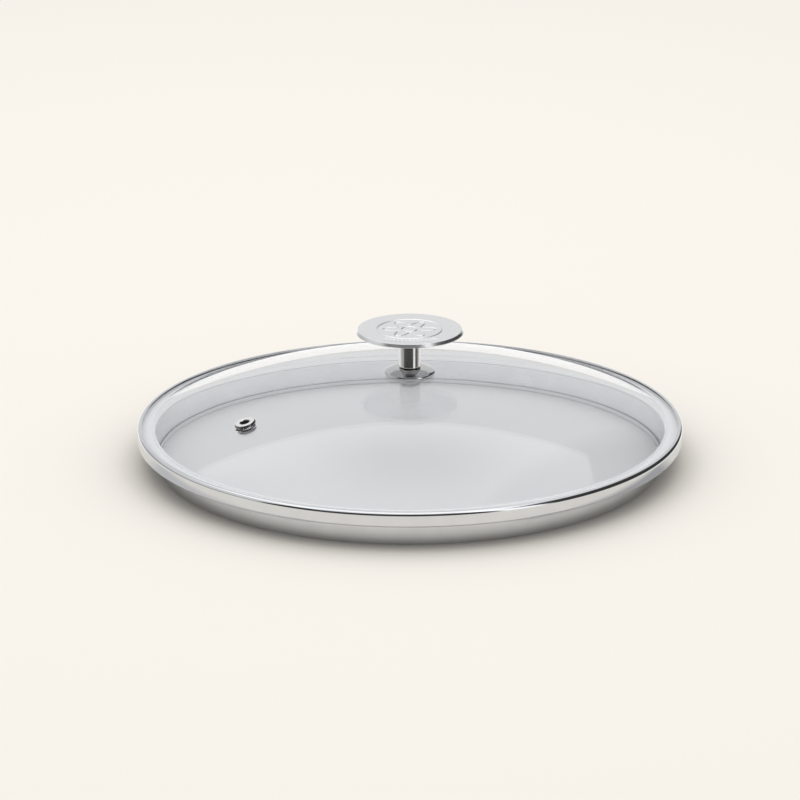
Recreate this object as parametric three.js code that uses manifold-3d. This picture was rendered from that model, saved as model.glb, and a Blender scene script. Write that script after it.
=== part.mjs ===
// Glass pan lid: a domed tempered glass pane in a roll-formed steel rim, with a steam vent
// and a flat disc knob held by one screw from below.
// Units are millimetres. +Z is up, and the lid stands on the hem of its rim at z = 0.

import * as THREE from 'three';
import { mergeVertices } from 'three/addons/utils/BufferGeometryUtils.js';
import Module from 'manifold-3d';

const wasm = await Module();
wasm.setup();

// ---------------------------------------------------------------- driving dimensions

const rimRadius = 127;        // outside of the rim
const rimTop = 18.1;          // top of the rim's lip, at its inner edge
const lipWidth = 2.2;         // how far the lip reaches in over the glass
const lipSlope = 3;           // degrees by which the lip rises towards the glass
const seatHeight = 11.4;      // underside of the flange that lies on the pan
const skirtRadius = 117.5;    // outside of the skirt that drops into the pan
const steel = 0.4;            // thickness of the rim's strip
const domeTop = 42.2;         // top of the glass, on the axis
const glassThickness = 4;
const knobRadius = 25;
const knobTop = 63.2;
const knobThickness = 1.6;
const stemRadius = 5.1;
const stemFoot = 45.2;        // where the stem stands on the base
const baseRadius = 11.65;
const ventRadius = 85.2;      // distance of the vent from the axis
const ventAngle = 208.2;      // degrees from +X, anticlockwise from above
const screwRadius = 2.4;      // M5 thread, without its clearance
const clearance = 0.25;       // gap kept between pieces that touch
const sleeveInset = 0.1;      // how far the hole sleeves stop short of the glass's faces
const bedding = 1.65;         // height of the glass above the flange it is bedded on
const glassFlat = 3.7;        // width from the rim's outside over which the glass stays flat

const rimSegments = 60;       // facets round the rim and the glass
const knobSegments = 32;
const smallSegments = 24;

// ---------------------------------------------------------------- shape helpers

const radians = THREE.MathUtils.degToRad;

// Points along an arc in the (radius, height) half plane, angles in degrees.
function arc(centreRadius, centreHeight, radius, from, to, steps) {
  return Array.from({ length: steps + 1 }, (_, i) => {
    const angle = radians(from + (to - from) * i / steps);
    return [centreRadius + radius * Math.cos(angle), centreHeight + radius * Math.sin(angle)];
  });
}

// Turns a closed outline of [radius, height] points about the Z axis.
function revolve(outline, segments) {
  const points = outline.map(([radius, height]) => new THREE.Vector2(Math.max(radius, 0), height));
  if (THREE.ShapeUtils.isClockWise(points)) points.reverse();
  if (points.every((point) => point.x > 0)) points.push(points[0].clone());
  return new THREE.LatheGeometry(points, segments).rotateX(Math.PI / 2);
}

// A ring of rectangular section, such as a washer, a gasket or a sleeve.
function ring(inner, outer, bottom, top) {
  return revolve([[inner, bottom], [outer, bottom], [outer, top], [inner, top]], smallSegments);
}

// The closed outline of a strip of sheet whose middle follows a path of [radius, height] points.
function sheetOutline(path, thickness) {
  const side = (sign) => path.map(([radius, height], i) => {
    const before = path[Math.max(i - 1, 0)];
    const after = path[Math.min(i + 1, path.length - 1)];
    const along = new THREE.Vector2(after[0] - before[0], after[1] - before[1]).normalize();
    const offset = sign * thickness / 2;
    return [radius - along.y * offset, height + along.x * offset];
  });
  return [...side(1), ...side(-1).reverse()];
}

function toSolid(geometry) {
  const bare = geometry.clone();
  bare.deleteAttribute('normal');
  bare.deleteAttribute('uv');
  const merged = mergeVertices(bare, 1e-4);
  const corners = merged.index.array;
  const triVerts = [];
  for (let i = 0; i < corners.length; i += 3) {
    const [a, b, c] = corners.slice(i, i + 3);
    if (a !== b && b !== c && c !== a) triVerts.push(a, b, c);
  }
  return new wasm.Manifold(new wasm.Mesh({
    numProp: 3,
    vertProperties: new Float32Array(merged.attributes.position.array),
    triVerts: new Uint32Array(triVerts),
  }));
}

function cut(geometry, tool) {
  const result = toSolid(geometry).subtract(toSolid(tool)).getMesh();
  const left = new THREE.BufferGeometry();
  left.setAttribute('position', new THREE.BufferAttribute(result.vertProperties, 3));
  left.setIndex(new THREE.BufferAttribute(result.triVerts, 1));
  left.computeVertexNormals();
  return left;
}

// ---------------------------------------------------------------- materials

const finish = (color, roughness, metalness) =>
  new THREE.MeshStandardMaterial({ color, roughness, metalness });

const polishedSteel = finish(0xd4d5d6, 0.12, 1);
const satinSteel = finish(0xdcdddf, 0.3, 1);
const hardwareSteel = finish(0xb9bbbd, 0.35, 1);
const silicone = finish(0xd9dbdc, 0.6, 0);
const glass = finish(0xd3d6d8, 0.03, 0);
glass.transparent = true;
glass.opacity = 0.35;

const lid = new THREE.Group();

function place(name, geometry, material, parent = lid) {
  const mesh = new THREE.Mesh(geometry, material);
  mesh.name = name;
  parent.add(mesh);
  return mesh;
}

// ---------------------------------------------------------------- the dome of the glass

// The glass lies flat in the rim, turns up through a hollow curve and becomes a sphere.
const glassBottom = seatHeight + steel + bedding;
const glassFlatTop = glassBottom + glassThickness;
const glassEdgeRadius = rimRadius - steel - 2 * clearance;
const flatStart = rimRadius - glassFlat;
const turnRadius = 9;
const turnHeight = glassFlatTop + turnRadius;
const turnDrop = domeTop - turnHeight;

// Outer sphere: it touches the turn, whose centre is turnRadius further out than the sphere.
const domeRadius = (flatStart ** 2 + turnDrop ** 2 - turnRadius ** 2) / (2 * (turnDrop + turnRadius));
const domeCentre = domeTop - domeRadius;
const domeEdge = THREE.MathUtils.radToDeg(Math.atan2(turnHeight - domeCentre, flatStart));

// Height of the glass's outer (depth 0) or inner (depth glassThickness) face above a radius.
function domeHeight(radius, depth = 0) {
  return domeCentre + Math.sqrt((domeRadius - depth) ** 2 - radius ** 2);
}

function glassDome() {
  const holeRadius = 5;
  const edgeChamfer = 0.6;
  const start = (depth) => THREE.MathUtils.radToDeg(Math.acos(holeRadius / (domeRadius - depth)));
  const inner = domeRadius - glassThickness;
  const outline = [
    ...arc(0, domeCentre, domeRadius, start(0), domeEdge, 7),
    ...arc(flatStart, turnHeight, turnRadius, domeEdge - 180, -90, 3).slice(1),
    [glassEdgeRadius - edgeChamfer, glassFlatTop],
    [glassEdgeRadius, glassFlatTop - edgeChamfer],
    [glassEdgeRadius, glassBottom + edgeChamfer],
    [glassEdgeRadius - edgeChamfer, glassBottom],
    ...arc(flatStart, turnHeight, turnRadius + glassThickness, -90, domeEdge - 180, 3),
    ...arc(0, domeCentre, inner, domeEdge, start(glassThickness), 7).slice(1),
  ];
  return revolve(outline, rimSegments);
}

// ---------------------------------------------------------------- rim

const bend = 0.3;                                  // radius of the tight bends, at mid thickness
const roll = 0.7;                                  // the same for the flange's outer corner
const lipRoll = 1.4;                               // the same for the top corner
const seatMiddle = seatHeight + steel / 2;
const hemHeight = 2;
const hemWidth = 1;                                // between the middles of the hem's two leaves
const skirtMiddle = skirtRadius - steel / 2;
const wallMiddle = rimRadius - steel / 2;
const lipMiddle = rimTop - steel / 2;
const lipEdge = rimRadius - lipWidth;

// The lip's straight stretch starts where the top corner has turned to the lip's slope.
const lipStart = wallMiddle - lipRoll + lipRoll * Math.sin(radians(lipSlope));
const lipRollHeight = lipMiddle - (lipStart - lipEdge) * Math.tan(radians(lipSlope))
  - lipRoll * Math.cos(radians(lipSlope));

function rimBand() {
  const footMiddle = steel / 2;
  return revolve(sheetOutline([
    [lipEdge, lipMiddle],
    ...arc(wallMiddle - lipRoll, lipRollHeight, lipRoll, 90 - lipSlope, 0, 4),
    ...arc(wallMiddle - roll, seatMiddle + roll, roll, 0, -90, 3),
    ...arc(skirtMiddle + bend, seatMiddle - bend, bend, 90, 180, 2),
    ...arc(skirtMiddle - bend, footMiddle + bend, bend, 0, -90, 2),
    ...arc(skirtMiddle - hemWidth + bend, footMiddle + bend, bend, -90, -180, 2),
    [skirtMiddle - hemWidth, hemHeight],
  ], steel), rimSegments);
}

// Silicone that beds the glass on the flange: a flat band with a wedge under the turn of the glass.
function rimSeal() {
  const bottom = seatHeight + steel + clearance;
  const bandTop = glassBottom - clearance;
  const wedgeWidth = 1.25;
  const innerRadius = skirtRadius + clearance;
  const wedgeRadius = innerRadius + wedgeWidth;
  const outerRadius = rimRadius - steel - 3 * clearance;
  const under = (radius) => turnHeight - clearance
    - Math.sqrt((turnRadius + glassThickness) ** 2 - (flatStart - radius) ** 2);
  return revolve([
    [innerRadius, bottom],
    [outerRadius, bottom],
    [outerRadius, bandTop],
    [wedgeRadius, bandTop],
    [wedgeRadius, under(wedgeRadius)],
    [innerRadius, under(innerRadius)],
  ], rimSegments);
}

// ---------------------------------------------------------------- steam vent

const ventHoleRadius = 2.25;
const ventBarrelRadius = 2.9;
const ventFlangeRadius = 4.9;
const ventGlassHole = 4.1;
const ventGasketRadius = 4.05;
const ventWasherRadius = 4.55;
const ventSlip = ventBarrelRadius + 0.2;            // hole of the rings round the barrel

// Heights along the vent's own axis, with zero on the outer face of the glass.
const ventGasketTop = 0.65;
const ventFlangeTop = 1.4;
const ventWasherTop = -glassThickness - clearance;
const ventWasherBottom = ventWasherTop - 0.85;

const ventFrame = new THREE.Group();
const ventTilt = Math.asin(ventRadius / domeRadius);
ventFrame.rotation.set(0, ventTilt, radians(ventAngle), 'ZYX');
ventFrame.position.set(
  ventRadius * Math.cos(radians(ventAngle)),
  ventRadius * Math.sin(radians(ventAngle)),
  domeHeight(ventRadius),
);
lid.add(ventFrame);

// One piece: a tapered button whose edge reaches down round the gasket, a barrel
// through the glass, and its end rolled out below.
function ventEyelet() {
  const recessRadius = ventGasketRadius + clearance;
  const recessTop = ventGasketTop + clearance;
  const footHeight = 0.2;
  const taper = 0.45;
  const chamfer = 0.3;
  const flareTop = ventWasherBottom - clearance;
  const flareBottom = flareTop - 0.6;
  const flareRadius = 3.9;
  return revolve([
    [ventHoleRadius, flareBottom],
    [flareRadius, flareBottom],
    [flareRadius, flareTop],
    [ventBarrelRadius, flareTop],
    [ventBarrelRadius, recessTop],
    [recessRadius, recessTop],
    [recessRadius, clearance],
    [ventFlangeRadius, clearance],
    [ventFlangeRadius, clearance + footHeight],
    [ventFlangeRadius - taper, ventFlangeTop],
    [ventHoleRadius + chamfer, ventFlangeTop],
    [ventHoleRadius, ventFlangeTop - chamfer],
  ], smallSegments);
}

// ---------------------------------------------------------------- knob and its fixing

const siliconeHole = 2.9;
const boltHole = 2.7;
const sleeveRadius = 4.7;
const upperGasketRadius = 6.9;
const lowerGasketRadius = 5.4;
const washerRadius = 5.1;
const lockRadius = 4.4;
const headRadius = 4.2;
const basePlateBottom = 44.1;

// The stack below the glass, from the top down.
const glassUnderside = domeTop - glassThickness;
const lowerGasketTop = domeHeight(lowerGasketRadius, glassThickness) - clearance;
const lowerGasketBottom = lowerGasketTop - 0.8;
const washerTop = lowerGasketBottom - clearance;
const washerBottom = washerTop - 0.7;
const lockTop = washerBottom - clearance;
const lockBottom = lockTop - 1;
const headTop = lockBottom - clearance;
const headBottom = headTop - 2.4;

// Stamped disc with a bevelled edge and a shallow pocket below that centres the stem.
function knobDisc() {
  const ease = 0.2;
  const bevel = 0.75;
  const bevelAngle = 30;
  const bottom = knobTop - knobThickness;
  const pocketRadius = 3.4;
  const pocketDepth = 0.7;
  return revolve([
    [0, bottom + pocketDepth],
    [pocketRadius, bottom + pocketDepth],
    [pocketRadius, bottom],
    ...arc(knobRadius - ease, bottom + ease, ease, -90, 0, 2),
    ...arc(knobRadius - bevel - ease, knobTop - ease, ease, bevelAngle, 90, 2),
    [0, knobTop],
  ], knobSegments);
}

// Turned stem: a spigot up into the disc and a threaded blind hole from below.
function knobStem() {
  const top = knobTop - knobThickness - clearance;
  const spigotRadius = 3.1;
  const spigotHeight = 0.7;
  const footEdge = 0.5;
  const boreDepth = 12;
  const boreCone = 1.2;
  const boreTop = stemFoot + boreDepth;
  return revolve([
    [0, boreTop + boreCone],
    [boltHole, boreTop],
    [boltHole, stemFoot],
    ...arc(stemRadius - footEdge, stemFoot + footEdge, footEdge, -90, 0, 2),
    [stemRadius, top],
    [spigotRadius, top],
    [spigotRadius, top + spigotHeight],
    [0, top + spigotHeight],
  ], smallSegments);
}

// Spun base: a low dome, hollow below, with a plate that the stem stands on.
function knobBase() {
  const foot = domeHeight(baseRadius) + clearance;
  const plateTop = stemFoot - clearance;
  const wall = 0.8;
  const edge = 0.2;
  const footWidth = 1;
  const footRise = 0.35;
  const slant = 0.1;
  const shoulder = 5.6;
  const rise = plateTop - foot - wall;
  const crown = Array.from({ length: 5 }, (_, i) => {
    const t = i / 4;
    const radius = baseRadius - edge + (shoulder - baseRadius + edge) * t;
    return [radius, foot + wall + rise * Math.sin(t * Math.PI / 2) ** 0.9];
  });
  return revolve([
    [boltHole, basePlateBottom],
    [shoulder + 2 * wall, basePlateBottom],
    [baseRadius - footWidth - slant, foot + footRise],
    [baseRadius - footWidth, foot],
    [baseRadius, foot],
    [baseRadius, foot + wall - edge],
    ...crown,
    [boltHole, plateTop],
  ], knobSegments);
}

// Pan-head screw with a cross recess, its shank running up into the stem.
function knobScrew() {
  const threadInStem = 9;
  const shankTop = stemFoot + threadInStem;
  const threadChamfer = 0.8;
  const recess = { length: 4.2, width: 0.9, depth: 1.6 };
  const crown = [[headRadius - 1.2, 0.15], [headRadius - 0.3, 0.9]];
  const body = revolve([
    [0, headBottom],
    ...crown.map(([radius, rise]) => [radius, headBottom + rise]),
    [headRadius, headTop],
    [screwRadius, headTop],
    [screwRadius, shankTop - threadChamfer],
    [screwRadius - threadChamfer, shankTop],
    [0, shankTop],
  ], smallSegments);
  const slot = (length, width) =>
    new THREE.BoxGeometry(length, width, 2 * recess.depth).translate(0, 0, headBottom);
  return cut(cut(body, slot(recess.length, recess.width)), slot(recess.width, recess.length));
}

// Spring washer: a thick ring split by a slanting slit.
function lockWasher() {
  const slitSlant = radians(25);
  const slitWidth = 0.7;
  const height = 4;
  const slit = new THREE.BoxGeometry(lockRadius, slitWidth, height).rotateX(slitSlant);
  slit.translate(lockRadius / 2 + 1, 0, (lockTop + lockBottom) / 2);
  return cut(ring(boltHole, lockRadius, lockBottom, lockTop), slit);
}

// ---------------------------------------------------------------- assembly

function buildGlass() {
  const drillLength = 5 * glassThickness;
  const drill = new THREE.CylinderGeometry(ventGlassHole, ventGlassHole, drillLength, smallSegments);
  drill.rotateX(Math.PI / 2);
  ventFrame.updateMatrixWorld(true);
  drill.applyMatrix4(ventFrame.matrixWorld);
  return cut(glassDome(), drill);
}

place('glass_dome', buildGlass(), glass);
place('rim_band', rimBand(), polishedSteel);
place('rim_seal', rimSeal(), silicone);

place('vent_eyelet', ventEyelet(), polishedSteel, ventFrame);
place('vent_gasket_upper', ring(ventSlip, ventGasketRadius, clearance, ventGasketTop), silicone, ventFrame);
place('vent_sleeve', ring(ventSlip, ventGlassHole - clearance, sleeveInset - glassThickness, -sleeveInset),
  silicone, ventFrame);
place('vent_washer', ring(ventSlip, ventWasherRadius, ventWasherBottom, ventWasherTop),
  hardwareSteel, ventFrame);

place('knob_disc', knobDisc(), satinSteel);
place('knob_stem', knobStem(), polishedSteel);
place('knob_base', knobBase(), polishedSteel);
place('knob_gasket_upper',
  ring(siliconeHole, upperGasketRadius, domeTop + clearance, basePlateBottom - clearance), silicone);
place('knob_sleeve',
  ring(siliconeHole, sleeveRadius, glassUnderside + sleeveInset, domeTop - sleeveInset), silicone);
place('knob_gasket_lower',
  ring(siliconeHole, lowerGasketRadius, lowerGasketBottom, lowerGasketTop), silicone);
place('knob_washer', ring(boltHole, washerRadius, washerBottom, washerTop), hardwareSteel);
place('knob_lock_washer', lockWasher(), hardwareSteel);
place('knob_screw', knobScrew(), hardwareSteel);

export default lid;
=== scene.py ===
"""Looks of a glass pan lid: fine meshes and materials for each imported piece, in a pale studio."""
import math

import bmesh
import bpy
from mathutils import Euler, Matrix, Vector


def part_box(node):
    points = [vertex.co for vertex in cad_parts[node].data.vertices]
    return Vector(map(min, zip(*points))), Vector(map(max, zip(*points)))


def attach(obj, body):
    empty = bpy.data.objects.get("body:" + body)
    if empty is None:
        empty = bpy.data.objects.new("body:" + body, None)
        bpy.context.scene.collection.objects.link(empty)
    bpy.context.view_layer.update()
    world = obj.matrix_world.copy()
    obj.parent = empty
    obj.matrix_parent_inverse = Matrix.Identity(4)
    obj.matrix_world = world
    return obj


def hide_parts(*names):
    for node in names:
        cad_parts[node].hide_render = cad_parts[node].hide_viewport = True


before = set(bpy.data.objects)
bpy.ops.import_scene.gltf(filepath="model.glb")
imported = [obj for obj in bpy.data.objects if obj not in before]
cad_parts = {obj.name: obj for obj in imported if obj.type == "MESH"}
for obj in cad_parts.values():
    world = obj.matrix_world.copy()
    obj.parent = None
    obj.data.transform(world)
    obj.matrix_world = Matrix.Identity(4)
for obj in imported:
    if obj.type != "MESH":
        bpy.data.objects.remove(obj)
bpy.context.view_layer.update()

MM = 0.001

# ------------------------------------------------------------------ sizes, in millimetres


def box_mm(node):
    """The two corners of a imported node's box."""
    low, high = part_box(node)
    return low / MM, high / MM


rim_high = box_mm("rim_band")[1]
glass_low, glass_high = box_mm("glass_dome")
disc_low, disc_high = box_mm("knob_disc")
stem_low, stem_high = box_mm("knob_stem")
base_low, base_high = box_mm("knob_base")

RIM_RADIUS = rim_high.x
RIM_TOP = rim_high.z
LIP_WIDTH = 2.2
LIP_SLOPE = 3.0
SEAT_HEIGHT = 11.4
SKIRT_RADIUS = 117.5
STEEL = 0.4
CLEARANCE = 0.25
DOME_TOP = 42.2
GLASS_THICKNESS = 4.0
TURN_RADIUS = 9.0
GLASS_FLAT_TOP = glass_low.z + GLASS_THICKNESS
GLASS_EDGE = glass_high.x
FLAT_START = RIM_RADIUS - 3.7
DISC_RADIUS = disc_high.x
DISC_TOP = disc_high.z
DISC_BOTTOM = disc_low.z
STEM_RADIUS = stem_high.x
STEM_FOOT = stem_low.z
BASE_RADIUS = base_high.x
BASE_FOOT = base_low.z
BASE_TOP = base_high.z
VENT_RADIUS = 85.2
VENT_ANGLE = math.radians(208.2)
SCREW_BORE = 2.7
GASKET_BORE = 2.9

# The glass's outer sphere touches a hollow turn that leads into its flat edge.
TURN_HEIGHT = GLASS_FLAT_TOP + TURN_RADIUS
TURN_DROP = DOME_TOP - TURN_HEIGHT
DOME_RADIUS = (FLAT_START ** 2 + TURN_DROP ** 2 - TURN_RADIUS ** 2) / (2 * (TURN_DROP + TURN_RADIUS))
DOME_CENTRE = DOME_TOP - DOME_RADIUS
DOME_EDGE = math.degrees(math.atan2(TURN_HEIGHT - DOME_CENTRE, FLAT_START))

RIM_STEPS = 360
DISC_STEPS = 480
SMALL_STEPS = 96


def dome_height(radius):
    """Height of the glass's outer face."""
    return DOME_CENTRE + math.sqrt(DOME_RADIUS ** 2 - radius ** 2)


# ------------------------------------------------------------------ outlines


def steps_between(limits, count):
    """Evenly spaced values from one limit to the other."""
    low, high = limits
    return [low + (high - low) * i / count for i in range(count + 1)]


def arc(centre_radius, centre_height, radius, start, end, steps):
    """Points along an arc in the (radius, height) half plane, angles in degrees."""
    points = []
    for degrees in steps_between((start, end), steps):
        angle = math.radians(degrees)
        point = (centre_radius + radius * math.cos(angle), centre_height + radius * math.sin(angle))
        points.append(point)
    return points


def eased(corners, ease, steps=4):
    """A closed outline with each corner rounded by an arc-like curve of about that size."""
    points = []
    for i, corner in enumerate(corners):
        here = Vector(corner)
        if here.x < 1e-6:
            points.append(tuple(here))
            continue
        towards = [Vector(corners[i - 1]) - here, Vector(corners[(i + 1) % len(corners)]) - here]
        reach = [here + side.normalized() * min(ease, side.length * 0.45) for side in towards]
        for t in steps_between((0, 1), steps):
            points.append(tuple(reach[0] * (1 - t) ** 2 + here * 2 * t * (1 - t) + reach[1] * t ** 2))
    return points


def ring_corners(inner, outer, bottom, top):
    """The outline of a plain ring."""
    return [(inner, bottom), (outer, bottom), (outer, top), (inner, top)]


def strip_outline(path, thickness):
    """The closed outline of sheet metal whose middle follows a path."""
    sides = ([], [])
    for i, (radius, height) in enumerate(path):
        before = Vector(path[max(i - 1, 0)])
        after = Vector(path[min(i + 1, len(path) - 1)])
        along = (after - before).normalized()
        for sign, side in zip((1, -1), sides):
            offset = sign * thickness / 2
            side.append((radius - along.y * offset, height + along.x * offset))
    return sides[0] + sides[1][::-1]


def supported(outline, margin=0.06):
    """Adds a point close to each bent end of a long stretch, so that flat faces shade as flat."""
    long_stretch = 8 * margin
    straight = math.radians(2)
    points = []
    count = len(outline)
    for i, point in enumerate(outline):
        start, end = Vector(point), Vector(outline[(i + 1) % count])
        before, after = Vector(outline[i - 1]), Vector(outline[(i + 2) % count])
        along = end - start
        points.append(point)
        if along.length < long_stretch:
            continue
        if abs(along.angle(start - before, 0)) > straight:
            points.append(tuple(start + along.normalized() * margin))
        if abs(along.angle(after - end, 0)) > straight:
            points.append(tuple(end - along.normalized() * margin))
    return points


# ------------------------------------------------------------------ meshes


def mesh_object(name, mesh_data, sharp=35):
    """An object from mesh data, smooth except where faces meet at more than sharp degrees."""
    mesh = bpy.data.meshes.new(name)
    mesh_data.to_mesh(mesh)
    mesh_data.free()
    mesh.shade_smooth()
    mesh.set_sharp_from_angle(angle=math.radians(sharp))
    piece = bpy.data.objects.new(name, mesh)
    bpy.context.scene.collection.objects.link(piece)
    return piece


def revolved(outline, steps):
    """A closed outline in millimetres, turned about the Z axis into a closed mesh in metres."""
    data = bmesh.new()
    turns = []
    for radius, height in supported(outline):
        if radius < 1e-6:
            turns.append([data.verts.new((0, 0, height * MM))])
            continue
        turn = []
        for i in range(steps):
            angle = 2 * math.pi * i / steps
            x, y = radius * math.cos(angle), radius * math.sin(angle)
            turn.append(data.verts.new((x * MM, y * MM, height * MM)))
        turns.append(turn)
    for a, b in zip(turns, turns[1:] + turns[:1]):
        if len(a) == 1 and len(b) == 1:
            continue
        for i in range(steps):
            j = (i + 1) % steps
            corners = [a[i % len(a)], b[i % len(b)], b[j % len(b)], a[j % len(a)]]
            data.faces.new(list(dict.fromkeys(corners)))
    bmesh.ops.recalc_face_normals(data, faces=data.faces)
    return data


def box_mesh(sizes, place, turn):
    """A box with sides in millimetres, turned and then moved."""
    data = bmesh.new()
    bmesh.ops.create_cube(data, size=1)
    data.transform(place @ turn @ Matrix.Diagonal((*[size * MM for size in sizes], 1)))
    return data


def face_radii(face):
    """Distances of a face's corners from the Z axis, in millimetres."""
    return [vertex.co.xy.length / MM for vertex in face.verts]


def vent_matrix():
    """The vent's own frame: zero on the outer face of the glass, Z along the dome's normal."""
    tilt = math.asin(VENT_RADIUS / DOME_RADIUS)
    turn = Matrix.Rotation(VENT_ANGLE, 4, "Z") @ Matrix.Rotation(tilt, 4, "Y")
    x, y = VENT_RADIUS * math.cos(VENT_ANGLE), VENT_RADIUS * math.sin(VENT_ANGLE)
    place = Vector((x, y, dome_height(VENT_RADIUS)))
    return Matrix.Translation(place * MM) @ turn


def subtract(piece, cutter):
    """Cuts cutter out of piece for good, and removes cutter."""
    modifier = piece.modifiers.new("cut", "BOOLEAN")
    modifier.operation = "DIFFERENCE"
    modifier.solver = "EXACT"
    modifier.object = cutter
    evaluated = piece.evaluated_get(bpy.context.evaluated_depsgraph_get())
    cut_mesh = bpy.data.meshes.new_from_object(evaluated)
    piece.modifiers.clear()
    piece.data = cut_mesh
    bpy.data.objects.remove(cutter)


# ------------------------------------------------------------------ material helpers


class Nodes:
    """A material's node tree, with short calls for the nodes used here."""

    def __init__(self, name):
        self.material = bpy.data.materials.new(name)
        self.material.use_nodes = True
        self.tree = self.material.node_tree
        self.shader = self.tree.nodes["Principled BSDF"]
        self.output = self.tree.nodes["Material Output"]

    def add(self, kind, **settings):
        node = self.tree.nodes.new(kind)
        for key, value in settings.items():
            setattr(node, key, value)
        return node

    def link(self, source, target):
        self.tree.links.new(source, target)

    def set(self, **values):
        for key, value in values.items():
            self.shader.inputs[key.replace("_", " ")].default_value = value

    def position(self):
        return self.add("ShaderNodeTexCoord").outputs["Object"]

    def split_position(self):
        split = self.add("ShaderNodeSeparateXYZ")
        self.link(self.position(), split.inputs[0])
        return split.outputs

    def math(self, operation, a, b=None):
        node = self.add("ShaderNodeMath", operation=operation)
        for socket, value in zip(node.inputs, (a, b)):
            if value is None:
                continue
            if isinstance(value, (int, float)):
                socket.default_value = value
            else:
                self.link(value, socket)
        return node.outputs[0]

    def axis_distance(self, x, y):
        squares = [self.math("MULTIPLY", value, value) for value in (x, y)]
        return self.math("SQRT", self.math("ADD", *squares))

    def noise(self, vector, scale, detail=2.0, roughness=0.5):
        node = self.add("ShaderNodeTexNoise")
        node.inputs["Scale"].default_value = scale
        node.inputs["Detail"].default_value = detail
        node.inputs["Roughness"].default_value = roughness
        self.link(vector, node.inputs["Vector"])
        return node.outputs["Fac"]

    def ramp(self, value, low, high, to_low, to_high):
        node = self.add("ShaderNodeMapRange")
        self.link(value, node.inputs["Value"])
        for socket, number in zip(list(node.inputs)[1:5], (low, high, to_low, to_high)):
            socket.default_value = number
        return node.outputs["Result"]

    def fade(self, value, limits, feather):
        """One between the limits, falling to nothing at them."""
        low, high = limits
        rising = self.ramp(value, low, low + feather, 0, 1)
        falling = self.ramp(value, high, high - feather, 0, 1)
        return self.math("MULTIPLY", rising, falling)

    def round_lines(self):
        """Distance from the Z axis, height and angle, for lines that run round that axis."""
        x, y, z = self.split_position()
        joined = self.add("ShaderNodeCombineXYZ")
        values = (self.axis_distance(x, y), z, self.math("ARCTAN2", y, x))
        for value, socket in zip(values, joined.inputs):
            self.link(value, socket)
        return joined.outputs[0]

    def stretched(self, vector, scale):
        node = self.add("ShaderNodeMapping")
        node.inputs["Scale"].default_value = scale
        self.link(vector, node.inputs["Vector"])
        return node.outputs[0]

    def mixed_colour(self, factor, a, b):
        node = self.add("ShaderNodeMix", data_type="RGBA")
        self.link(factor, node.inputs["Factor"])
        node.inputs["A"].default_value = (*a, 1)
        node.inputs["B"].default_value = (*b, 1)
        return node.outputs["Result"]

    def bump(self, height, distance, lift=0.0):
        """Bumps the surface, after leaning its shading upwards by lift."""
        leaned = self.add("ShaderNodeVectorMath", operation="ADD")
        self.link(self.add("ShaderNodeNewGeometry").outputs["Normal"], leaned.inputs[0])
        leaned.inputs[1].default_value = (0, 0, lift)
        unit = self.add("ShaderNodeVectorMath", operation="NORMALIZE")
        self.link(leaned.outputs[0], unit.inputs[0])
        node = self.add("ShaderNodeBump")
        node.inputs["Distance"].default_value = distance
        self.link(height, node.inputs["Height"])
        self.link(unit.outputs[0], node.inputs["Normal"])
        self.link(node.outputs["Normal"], self.shader.inputs["Normal"])

    def blend_output(self, factor, first, second):
        """Shows a mix of two shaders: the second one where factor is one."""
        mix = self.add("ShaderNodeMixShader")
        self.link(factor, mix.inputs["Fac"])
        self.link(first.outputs[0], mix.inputs[1])
        self.link(second.outputs[0], mix.inputs[2])
        self.link(mix.outputs[0], self.output.inputs["Surface"])


def steel_material(name, light, dark, roughness, line_depth, lift=0.0):
    """Stainless steel with fine lines round the axis and a faint change of shine."""
    lines_per_metre = 9000
    cloud_scale = 90
    spread = 0.03
    nodes = Nodes(name)
    nodes.set(Metallic=1.0)
    stretched = nodes.stretched(nodes.round_lines(), (lines_per_metre, lines_per_metre, 3))
    lines = nodes.noise(stretched, 1.0, 3.0, 0.6)
    clouds = nodes.noise(nodes.position(), cloud_scale, 3.0)
    colour = nodes.mixed_colour(nodes.ramp(clouds, 0.3, 0.7, 0, 1), light, dark)
    nodes.link(colour, nodes.shader.inputs["Base Color"])
    cloud_shine = nodes.ramp(clouds, 0.3, 0.7, -spread, spread)
    line_shine = nodes.ramp(lines, 0.3, 0.7, -spread, spread)
    shine = nodes.math("ADD", nodes.math("ADD", cloud_shine, line_shine), roughness)
    nodes.link(shine, nodes.shader.inputs["Roughness"])
    nodes.bump(lines, line_depth, lift)
    return nodes.material


def silicone_material(name, light, dark, roughness, glow=0.0):
    """Silicone rubber. The glow is painted light, an emission on a part that is no lamp; it stands for
    the light that a clear one passes on inside.
    """
    speck_scale = 2500
    speck_depth = 3e-5
    spread = 0.08
    nodes = Nodes(name)
    # The emission strength is painted light on the silicone.
    nodes.set(Emission_Color=(1, 0.99, 0.97, 1), Emission_Strength=glow)
    specks = nodes.noise(nodes.position(), speck_scale, 3.0)
    nodes.link(nodes.mixed_colour(specks, light, dark), nodes.shader.inputs["Base Color"])
    shine = nodes.ramp(specks, 0.3, 0.7, roughness - spread, roughness + spread)
    nodes.link(shine, nodes.shader.inputs["Roughness"])
    nodes.bump(specks, speck_depth)
    return nodes.material


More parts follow.
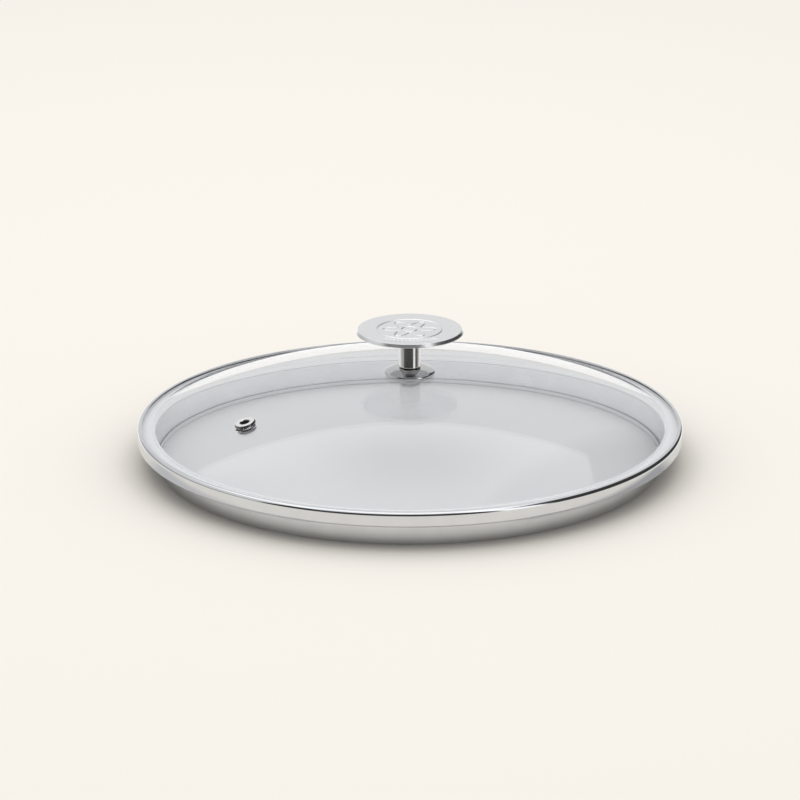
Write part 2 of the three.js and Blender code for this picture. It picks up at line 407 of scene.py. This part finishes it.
def glass_material():
    """Clear glass. Lamps and bounced light pass straight through, so the floor below stays lit."""
    tint_scale = 18
    smear_scale = 60
    wave_scale = 25
    wave_depth = 2e-5
    nodes = Nodes("clear_glass")
    nodes.set(Transmission_Weight=1.0, IOR=1.5)
    tint = nodes.noise(nodes.position(), tint_scale, 2.0)
    clear = nodes.mixed_colour(tint, (0.885, 0.900, 0.930), (0.875, 0.890, 0.920))
    nodes.link(clear, nodes.shader.inputs["Base Color"])
    smears = nodes.noise(nodes.position(), smear_scale, 4.0, 0.6)
    nodes.link(nodes.ramp(smears, 0.55, 0.8, 0.0, 0.03), nodes.shader.inputs["Roughness"])
    nodes.bump(nodes.noise(nodes.position(), wave_scale, 1.0), wave_depth)
    path = nodes.add("ShaderNodeLightPath")
    through = nodes.math("MAXIMUM", path.outputs["Is Shadow Ray"], path.outputs["Is Diffuse Ray"])
    straight = nodes.add("ShaderNodeBsdfTransparent")
    nodes.link(clear, straight.inputs["Color"])
    nodes.blend_output(through, nodes.shader, straight)
    return nodes.material


def floor_material():
    nodes = Nodes("pale_floor")
    nodes.set(Base_Color=(0.93, 0.893, 0.828, 1), Roughness=0.9, Specular_IOR_Level=0.0)
    return nodes.material


# ------------------------------------------------------------------ pieces


def finish_piece(piece, node, slot, *materials):
    """Gives a piece its materials, in the order of its faces' indexes, and its place in the part."""
    for material in materials:
        piece.data.materials.append(material)
    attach(piece, "root")
    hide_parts(node)


def make_glass(material):
    screw_hole = 5.0
    vent_hole = 4.1
    drill_reach = 10
    edge = 0.9
    dome_steps = 60
    turn_steps = 14
    edge_steps = 6
    edge_centre = GLASS_EDGE - edge
    inner_radius = DOME_RADIUS - GLASS_THICKNESS
    outer_start = math.degrees(math.acos(screw_hole / DOME_RADIUS))
    inner_end = math.degrees(math.acos(screw_hole / inner_radius))
    turn = DOME_EDGE - 180
    outline = arc(0, DOME_CENTRE, DOME_RADIUS, outer_start, DOME_EDGE, dome_steps)
    outline += arc(FLAT_START, TURN_HEIGHT, TURN_RADIUS, turn, -90, turn_steps)[1:]
    outline += arc(edge_centre, GLASS_FLAT_TOP - edge, edge, 90, 0, edge_steps)
    outline += arc(edge_centre, glass_low.z + edge, edge, 0, -90, edge_steps)
    outline += arc(FLAT_START, TURN_HEIGHT, TURN_RADIUS + GLASS_THICKNESS, -90, turn, turn_steps)
    outline += arc(0, DOME_CENTRE, inner_radius, DOME_EDGE, inner_end, dome_steps)[1:]
    piece = mesh_object("lid_glass", revolved(outline, RIM_STEPS))
    drill_outline = ring_corners(0, vent_hole, -drill_reach, drill_reach)
    drill = mesh_object("drill", revolved(drill_outline, SMALL_STEPS))
    drill.matrix_world = vent_matrix()
    subtract(piece, drill)
    finish_piece(piece, "glass_dome", "lid_glass", material)


def rim_path():
    """The middle of the rim's strip, from the lip down to the hem."""
    bend = 0.3
    roll = 0.7
    lip_roll = 1.4
    hem_height = 2.0
    hem_width = 1.0
    slope = math.radians(LIP_SLOPE)
    wall = RIM_RADIUS - STEEL / 2
    skirt = SKIRT_RADIUS - STEEL / 2
    seat = SEAT_HEIGHT + STEEL / 2
    foot = STEEL / 2
    lip = RIM_TOP - STEEL / 2
    lip_edge = RIM_RADIUS - LIP_WIDTH
    lip_start = wall - lip_roll + lip_roll * math.sin(slope)
    lip_rise = (lip_start - lip_edge) * math.tan(slope)
    roll_height = lip - lip_rise - lip_roll * math.cos(slope)
    path = [(lip_edge, lip)]
    path += arc(wall - lip_roll, roll_height, lip_roll, 90 - LIP_SLOPE, 0, 12)
    path += arc(wall - roll, seat + roll, roll, 0, -90, 8)
    path += arc(skirt + bend, seat - bend, bend, 90, 180, 5)
    path += arc(skirt - bend, foot + bend, bend, 0, -90, 5)
    path += arc(skirt - hem_width + bend, foot + bend, bend, -90, -180, 5)
    path += [(skirt - hem_width, hem_height)]
    return path


def make_rim(material, lightened_inner_material):
    """A lighter copy of the rim steel, painted light, is on the faces inside the skirt and its hem."""
    data = revolved(strip_outline(rim_path(), STEEL), RIM_STEPS)
    for face in data.faces:
        if max(face_radii(face)) < SKIRT_RADIUS - STEEL / 2:
            face.material_index = 1
    piece = mesh_object("steel_rim", data, sharp=50)
    finish_piece(piece, "rim_band", "rim_steel", material, lightened_inner_material)


def make_seal(material):
    """A flat band on the flange with a wedge under the turn of the glass."""
    wedge_width = 1.25
    low, high = box_mm("rim_seal")
    inner = SKIRT_RADIUS + CLEARANCE
    wedge = inner + wedge_width
    band_top = glass_low.z - CLEARANCE
    turn = TURN_RADIUS + GLASS_THICKNESS
    wedge_top = TURN_HEIGHT - CLEARANCE - math.sqrt(turn ** 2 - (FLAT_START - wedge) ** 2)
    corners = [
        (inner, low.z),
        (high.x, low.z),
        (high.x, band_top),
        (wedge, band_top),
        (wedge, wedge_top),
        (inner, high.z),
    ]
    piece = mesh_object("rim_bedding", revolved(eased(corners, 0.05, 2), RIM_STEPS))
    finish_piece(piece, "rim_seal", "clear_silicone", material)


def make_vent(steel, shaded_side_steel, hardware, silicone_and_bore_shade):
    """The vent's four pieces. Heights are along its own axis, from the outer face of the glass."""
    hole = 2.25
    barrel = 2.9
    slip = 3.1
    head = 4.9
    head_top = 1.4
    head_foot = 0.2
    taper = 0.45
    chamfer = 0.3
    gasket = 4.05
    gasket_top = 0.65
    sleeve = 3.85
    sleeve_inset = 0.1
    washer = 4.55
    washer_thickness = 0.85
    flare = 3.9
    flare_thickness = 0.6
    washer_top = -GLASS_THICKNESS - CLEARANCE
    washer_bottom = washer_top - washer_thickness
    flare_top = washer_bottom - CLEARANCE
    flare_bottom = flare_top - flare_thickness
    eyelet_corners = [
        (hole, flare_bottom),
        (flare, flare_bottom),
        (flare, flare_top),
        (barrel, flare_top),
        (barrel, gasket_top + CLEARANCE),
        (gasket + CLEARANCE, gasket_top + CLEARANCE),
        (gasket + CLEARANCE, CLEARANCE),
        (head, CLEARANCE),
        (head, CLEARANCE + head_foot),
        (head - taper, head_top),
        (hole + chamfer, head_top),
        (hole, head_top - chamfer),
    ]
    gasket_corners = ring_corners(slip, gasket, CLEARANCE, gasket_top)
    sleeve_corners = ring_corners(slip, sleeve, sleeve_inset - GLASS_THICKNESS, -sleeve_inset)
    washer_corners = ring_corners(slip, washer, washer_bottom, washer_top)
    parts = [
        ("vent_collar", eyelet_corners, "vent_eyelet", "rim_steel", steel),
        ("vent_seal", gasket_corners, "vent_gasket_upper", "dark_silicone", silicone_and_bore_shade),
        ("vent_lining", sleeve_corners, "vent_sleeve", "dark_silicone", silicone_and_bore_shade),
        ("vent_backing", washer_corners, "vent_washer", "hardware_steel", hardware),
    ]
    # The bore gets the dark silicone as painted shade, so the hole reads dark. Every face out near the
    # head's edge gets a darker copy of the steel as painted shade, which takes in the washer's outer
    # side.
    shaded_bore_limit = hole + 0.01
    shaded_side_limit = head - taper + 0.02
    for name, corners, node, slot, material in parts:
        data = revolved(eased(corners, 0.1), SMALL_STEPS)
        for face in data.faces:
            if max(face_radii(face)) < shaded_bore_limit:
                face.material_index = 1
            elif min(face_radii(face)) > shaded_side_limit:
                face.material_index = 2
        data.transform(vent_matrix())
        finish_piece(mesh_object(name, data), node, slot, material, silicone_and_bore_shade, shaded_side_steel)


def groove(distance, width, depth):
    """Depth of a soft-sided groove at a distance from its middle."""
    return depth * math.exp(-(distance / width) ** 2)


def engraving(radius, angle):
    """Depth of the pattern in the disc's top: a ringed flower, and ticks round the front."""
    depth = 0.3
    thin, medium, wide = 0.24, 0.30, 0.4
    ring_radius = 15.1
    flower_radius, petal_reach, petals = 9.2, 3.0, 6
    heart_radius = 3.6
    tick_low, tick_high, ticks = 17.4, 21.6, 60
    tick_spread = math.radians(38)
    petal = flower_radius + petal_reach * math.cos(petals * angle)
    total = groove(radius - ring_radius, thin, depth)
    total += groove(radius - petal, medium, depth)
    total += groove(radius - heart_radius, thin, depth)
    from_front = abs(angle + math.pi / 2)
    if tick_low < radius < tick_high and from_front < tick_spread:
        ends = math.sin(math.pi * (radius - tick_low) / (tick_high - tick_low)) ** 0.5
        across = math.sin(ticks * angle / 2) * 2 * radius / ticks
        total += groove(across, wide, depth) * ends
    return total


def make_disc(material):
    ease = 0.2
    bevel = 0.75
    bevel_angle = 30
    recess = 3.4
    recess_depth = 0.7
    ring_step = 0.12
    pattern_radius = 22.0
    edge = DISC_RADIUS - ease
    recess_top = DISC_BOTTOM + recess_depth
    outline = [(0, recess_top), (recess, recess_top), (recess, DISC_BOTTOM)]
    outline += arc(edge, DISC_BOTTOM + ease, ease, -90, bevel_angle, 8)
    outline += arc(edge - bevel, DISC_TOP - ease, ease, bevel_angle, 90, 5)
    rings = int(pattern_radius / ring_step)
    outline += [(pattern_radius - ring_step * i, DISC_TOP) for i in range(rings)]
    outline += [(0, DISC_TOP)]
    data = revolved(outline, DISC_STEPS)
    for vertex in data.verts:
        radius = vertex.co.xy.length / MM
        on_top = vertex.co.z / MM > DISC_TOP - 1e-3
        if on_top and 0.1 < radius < pattern_radius:
            vertex.co.z -= engraving(radius, math.atan2(vertex.co.y, vertex.co.x)) * MM
    finish_piece(mesh_object("knob_plate", data, sharp=60), "knob_disc", "satin_steel", material)


def make_stem(material):
    spigot = 3.1
    bore_depth = 12
    bore_tip = 1.2
    top = DISC_BOTTOM - CLEARANCE
    bore_top = STEM_FOOT + bore_depth
    corners = [
        (0, bore_top + bore_tip),
        (SCREW_BORE, bore_top),
        (SCREW_BORE, STEM_FOOT),
        (STEM_RADIUS, STEM_FOOT),
        (STEM_RADIUS, top),
        (spigot, top),
        (spigot, stem_high.z),
        (0, stem_high.z),
    ]
    piece = mesh_object("knob_pillar", revolved(eased(corners, 0.5, 6), SMALL_STEPS))
    finish_piece(piece, "knob_stem", "polished_steel", material)


def make_base(material):
    """A low polished cover: its underside, its eased foot, and its rounded top."""
    plate_bottom = 44.1
    plate_reach = 7.2
    shoulder = 5.6
    wall = 0.8
    ease = 0.15
    foot_width = 1
    hollow_inset = 1.1
    hollow_rise = 0.35
    slanting = 3
    dome_steps = 16
    rise = BASE_TOP - BASE_FOOT - wall
    side = BASE_RADIUS - ease
    outline = [
        (SCREW_BORE, plate_bottom),
        (plate_reach, plate_bottom),
        (BASE_RADIUS - hollow_inset, BASE_FOOT + hollow_rise),
    ]
    foot = [
        (BASE_RADIUS - foot_width, BASE_FOOT),
        (BASE_RADIUS, BASE_FOOT),
        (BASE_RADIUS, BASE_FOOT + wall - ease),
    ]
    # The rounded triangle without its slanting side and most of the two curves that lead to it.
    outline += eased(foot, ease)[slanting:-slanting]
    for t in steps_between((0, 1), dome_steps):
        height = BASE_FOOT + wall + rise * math.sin(t * math.pi / 2) ** 0.9
        outline.append((side + (shoulder - side) * t, height))
    outline.append((SCREW_BORE, BASE_TOP))
    piece = mesh_object("knob_foot", revolved(outline, SMALL_STEPS), sharp=40)
    finish_piece(piece, "knob_base", "polished_steel", material)


def make_plain_ring(name, node, slot, material, inner):
    """A washer, gasket or sleeve on the axis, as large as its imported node."""
    low, high = box_mm(node)
    outline = eased(ring_corners(inner, high.x, low.z, high.z), 0.15)
    finish_piece(mesh_object(name, revolved(outline, SMALL_STEPS)), node, slot, material)


def make_lock_washer(material):
    """A spring washer with a slanting slit through one side."""
    slit_width = 0.7
    slit_height = 4
    slit_slant = math.radians(25)
    low, high = box_mm("knob_lock_washer")
    outer = -low.x
    outline = eased(ring_corners(SCREW_BORE, outer, low.z, high.z), 0.1)
    piece = mesh_object("lock_ring", revolved(outline, SMALL_STEPS))
    place = Matrix.Translation(Vector((outer / 2 + 1, 0, (low.z + high.z) / 2)) * MM)
    turn = Matrix.Rotation(slit_slant, 4, "X")
    slit = box_mesh((outer, slit_width, slit_height), place, turn)
    subtract(piece, mesh_object("slit", slit))
    finish_piece(piece, "knob_lock_washer", "hardware_steel", material)


def screw_outline(low, high):
    """A pan head, a threaded shank and a tapered tip, standing on the head."""
    head_height = 2.4
    crown_radius = 5.2
    crown_inset = 0.5
    rounding = 0.45
    side_height = 1.5
    thread = 2.4
    thread_depth = 0.35
    pitch = 0.8
    tip = 0.8
    plain = 1
    head = high.x
    head_top = low.z + head_height
    crown = arc(0, low.z + crown_radius, crown_radius, -90, -42, 10)[1:]
    outline = [(0, low.z)]
    outline += [(radius, height) for radius, height in crown if radius < head - crown_inset]
    outline += arc(head - rounding, low.z + side_height, rounding, -30, 0, 4)
    outline += [(head, head_top), (thread, head_top)]
    height = head_top + plain
    while height < high.z - plain:
        outline += [(thread, height), (thread - thread_depth, height + pitch / 2)]
        height += pitch
    outline += [(thread, height), (thread - tip, high.z), (0, high.z)]
    return outline


def make_screw(material):
    cross_length = 4.2
    cross_width = 0.9
    cross_height = 3.2
    low, high = box_mm("knob_screw")
    piece = mesh_object("fixing_screw", revolved(screw_outline(low, high), SMALL_STEPS), sharp=30)
    place = Matrix.Translation((0, 0, low.z * MM))
    for degrees in (0, 90):
        turn = Matrix.Rotation(math.radians(degrees), 4, "Z")
        blade = box_mesh((cross_length, cross_width, cross_height), place, turn)
        subtract(piece, mesh_object("blade", blade))
    finish_piece(piece, "knob_screw", "hardware_steel", material)


# ------------------------------------------------------------------ studio


def make_camera():
    """A long lens from about 19 degrees above the floor."""
    elevation = math.radians(19.06)
    roll_angle = math.radians(-0.16)
    distance = 2.0
    aim = Vector((-0.0046, 0, 0.02856))
    camera = bpy.data.objects.new("camera", bpy.data.cameras.new("camera"))
    camera.data.lens = 192.5
    camera.data.sensor_width = 36
    camera.data.clip_end = 50
    camera.location = (0, -distance * math.cos(elevation), distance * math.sin(elevation))
    look = (aim - camera.location).to_track_quat("-Z", "Y")
    roll = Euler((0, 0, roll_angle)).to_quaternion()
    camera.rotation_mode = "QUATERNION"
    camera.rotation_quaternion = look @ roll
    bpy.context.scene.collection.objects.link(camera)
    bpy.context.scene.camera = camera


def make_world():
    world = bpy.data.worlds.new("studio")
    world.use_nodes = True
    background = world.node_tree.nodes["Background"]
    background.inputs["Color"].default_value = (1.0, 1.0, 1.0, 1)
    background.inputs["Strength"].default_value = 0.8
    bpy.context.scene.world = world


def make_floor():
    data = bmesh.new()
    bmesh.ops.create_circle(data, cap_ends=True, segments=96, radius=12)
    floor = mesh_object("floor", data)
    floor.data.materials.append(floor_material())


def make_softbox(name, place, size, target, power):
    light = bpy.data.lights.new(name, "AREA")
    light.shape = "RECTANGLE"
    light.size, light.size_y = size
    light.energy = power
    lamp = bpy.data.objects.new(name, light)
    lamp.location = place
    lamp.rotation_mode = "QUATERNION"
    lamp.rotation_quaternion = (Vector(target) - Vector(place)).to_track_quat("-Z", "Y")
    bpy.context.scene.collection.objects.link(lamp)


def card_mesh(half, across, point):
    """A strip about the Z axis, half degrees to each side, through point(value) for values across."""
    columns = 24
    rows = 12
    data = bmesh.new()
    grid = []
    for azimuth in steps_between((-half, half), columns):
        turned = Matrix.Rotation(math.radians(azimuth), 3, "Z")
        grid.append([data.verts.new(turned @ point(value)) for value in steps_between(across, rows)])
    for left, right in zip(grid, grid[1:]):
        for j in range(rows):
            data.faces.new((left[j], right[j], right[j + 1], left[j + 1]))
    return data


def card_material(name, half, across, measure, radiance, feathers):
    """An even glow that fades out at the card's four edges."""
    nodes = Nodes(name)
    x, y, z = nodes.split_position()
    azimuth = nodes.math("ARCTAN2", x, nodes.math("MULTIPLY", y, -1.0))
    azimuth = nodes.math("MULTIPLY", azimuth, math.degrees(1))
    sides = nodes.fade(azimuth, (-half, half), feathers[0])
    ends = nodes.fade(measure(nodes, x, y, z), across, feathers[1])
    emission = nodes.add("ShaderNodeEmission")
    emission.inputs["Strength"].default_value = radiance
    clear = nodes.add("ShaderNodeBsdfTransparent")
    nodes.blend_output(nodes.math("MULTIPLY", sides, ends), clear, emission)
    nodes.material.cycles.emission_sampling = "NONE"
    return nodes.material


def make_card(name, azimuths, across, point, measure, radiance, feathers):
    """A glowing card that only reflections see, turned about the Z axis to its middle azimuth.

    Azimuths are in degrees from the camera's side to the right. The card's other direction runs
    over the across limits: point gives the place for a value, and measure the value for a place.
    """
    middle = sum(azimuths) / 2
    half = (azimuths[1] - azimuths[0]) / 2
    card = mesh_object(name, card_mesh(half, across, point))
    card.rotation_euler.z = math.radians(middle)
    card.data.materials.append(card_material(name, half, across, measure, radiance, feathers))
    card.visible_camera = False
    card.visible_diffuse = False
    card.visible_transmission = False
    card.visible_shadow = False


def make_sky_card(name, azimuths, elevations, radiance, feather=5.0):
    """A curved card round the lid, between two elevations in degrees."""
    distance = 3.0

    def point(elevation):
        angle = math.radians(elevation)
        return Vector((0, -distance * math.cos(angle), distance * math.sin(angle)))

    def measure(nodes, x, y, z):
        angle = nodes.math("ARCSINE", nodes.math("DIVIDE", z, distance))
        return nodes.math("MULTIPLY", angle, math.degrees(1))

    make_card(name, azimuths, elevations, point, measure, radiance, (feather, feather))


def make_floor_card(name, azimuths, radii, radiance):
    """A card lying round the lid, between two radii in metres."""
    above_floor = 0.001
    azimuth_feather = 8.0
    radius_feather = 0.005

    def point(radius):
        return Vector((0, -radius, above_floor))

    def measure(nodes, x, y, z):
        return nodes.axis_distance(x, y)

    feathers = (azimuth_feather, radius_feather)
    make_card(name, azimuths, radii, point, measure, radiance, feathers)


def make_studio():
    """Soft overhead light, and cards that give the steel its dark and light reflections."""
    make_world()
    make_floor()
    make_softbox("overhead", (-0.07, 0.25, 1.2), (1.45, 2.2), (-0.07, 0.25, 0), 6)
    make_sky_card("dark_front", (-66, 38), (-2, 72), 0.06)
    make_sky_card("dark_right", (56, 160), (-2, 66), 0.05)
    make_sky_card("grey_left", (-150, -62), (-2, 26), 0.50)
    make_sky_card("bright_strip", (36, 57), (-2, 75), 1.35, 3.0)
    make_floor_card("bright_behind", (100, 260), (0.16, 9), 1.2)
    make_floor_card("fill_left", (-85, -20), (0.131, 0.155), 0.65)
    make_floor_card("fill_right", (25, 85), (0.131, 0.155), 0.45)
    bpy.context.scene.view_settings.view_transform = "Standard"
    bpy.context.scene.cycles.caustics_reflective = False


make_camera()
make_studio()

rim_steel = steel_material("rim_steel", (0.70, 0.71, 0.73), (0.66, 0.67, 0.69), 0.08, 8e-7)
# A lighter copy of the rim steel: painted light on the inside of the skirt.
lightened_inner_steel = steel_material("lightened_inner_steel", (0.86, 0.86, 0.88), (0.82, 0.82, 0.84), 0.30, 8e-7)
turned_steel = steel_material("turned_steel", (0.62, 0.62, 0.61), (0.58, 0.58, 0.57), 0.15, 8e-7, 0.22)
mirror_steel = steel_material("mirror_steel", (0.58, 0.58, 0.58), (0.54, 0.54, 0.54), 0.08, 5e-7, 0.25)
# A lighter copy of the rim steel: painted highlight, so the eyelet's collar reads white.
lightened_vent_steel = steel_material("lightened_vent_steel", (0.90, 0.90, 0.90), (0.86, 0.86, 0.86), 0.22, 5e-7)
# A darker copy of the steel: painted shade on the vent's outer sides.
shaded_side_steel = steel_material("shaded_side_steel", (0.22, 0.22, 0.22), (0.16, 0.16, 0.16), 0.35, 5e-7)
satin_steel = steel_material("satin_steel", (0.86, 0.865, 0.875), (0.82, 0.825, 0.835), 0.28, 3e-6)
hardware_steel = steel_material("hardware_steel", (0.80, 0.80, 0.80), (0.74, 0.74, 0.74), 0.35, 4e-6)
# The pale silicone's glow of 0.18 is painted light.
clear_silicone = silicone_material("clear_silicone", (0.98, 0.95, 0.90), (0.94, 0.91, 0.86), 0.45, 0.18)
dark_silicone = silicone_material("dark_silicone", (0.05, 0.05, 0.05), (0.03, 0.03, 0.03), 0.5)

make_glass(glass_material())
make_rim(rim_steel, lightened_inner_steel)
make_seal(clear_silicone)
make_vent(lightened_vent_steel, shaded_side_steel, hardware_steel, dark_silicone)
make_disc(satin_steel)
make_stem(turned_steel)
make_base(mirror_steel)
make_plain_ring("foot_gasket", "knob_gasket_upper", "dark_silicone", dark_silicone, GASKET_BORE)
make_plain_ring("hole_lining", "knob_sleeve", "dark_silicone", dark_silicone, GASKET_BORE)
make_plain_ring("under_gasket", "knob_gasket_lower", "clear_silicone", clear_silicone, GASKET_BORE)
make_plain_ring("under_washer", "knob_washer", "hardware_steel", hardware_steel, SCREW_BORE)
make_lock_washer(hardware_steel)
make_screw(hardware_steel)
